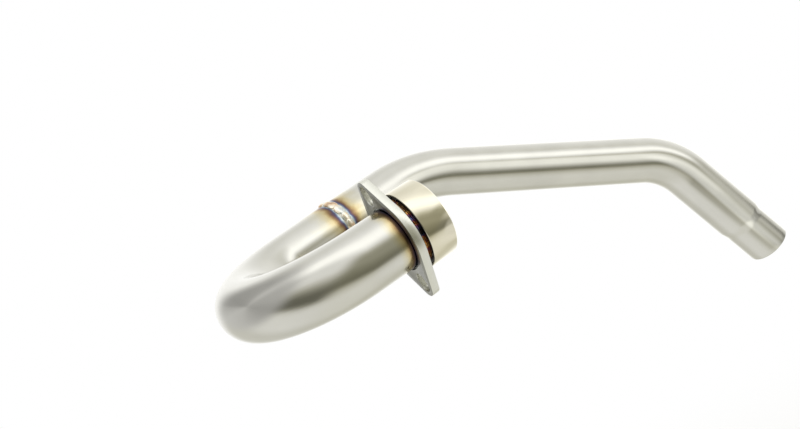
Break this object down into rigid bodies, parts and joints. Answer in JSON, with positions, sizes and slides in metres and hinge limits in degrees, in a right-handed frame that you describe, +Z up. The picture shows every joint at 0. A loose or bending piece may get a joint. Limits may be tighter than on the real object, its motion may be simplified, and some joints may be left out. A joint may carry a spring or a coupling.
{
  "type": "exhaust header pipe",
  "caption": "Bent stainless head pipe with a welded port collar, a loose slotted flange that turns on it, and a swaged tail.",
  "frame": {"origin": "centre of the port collar's sealing face, on the axis of the exhaust port", "axes": "+X out of the pipe into the exhaust port, +Z up along the line of the flange's two slots, +Y to the side that the pipe turns back on"},
  "size_m": [0.4319, 0.1772, 0.2394],
  "materials": {
    "tube_satin": "satin brushed stainless tube, heat tinted beside the welds",
    "weld_bead": "bright rippled weld bead with straw, purple and blue heat tint",
    "collar_polished": "turned and polished stainless, warm tone",
    "flange_milled": "flat grey plate with a finely milled rim"
  },
  "bodies": {
    "pipe": {"head_bend": "tube_satin", "rear_pipe": "tube_satin", "joint_weld": "weld_bead", "port_collar": "collar_polished", "collar_weld": "weld_bead"},
    "flange": {"port_flange": "flange_milled"}
  },
  "joints": [
    {"name": "flange_turn", "type": "hinge", "parent": "pipe", "child": "flange", "pos_m": [-0.0229, 0, 0], "axis": [1, 0, 0], "continuous": true}
  ]
}
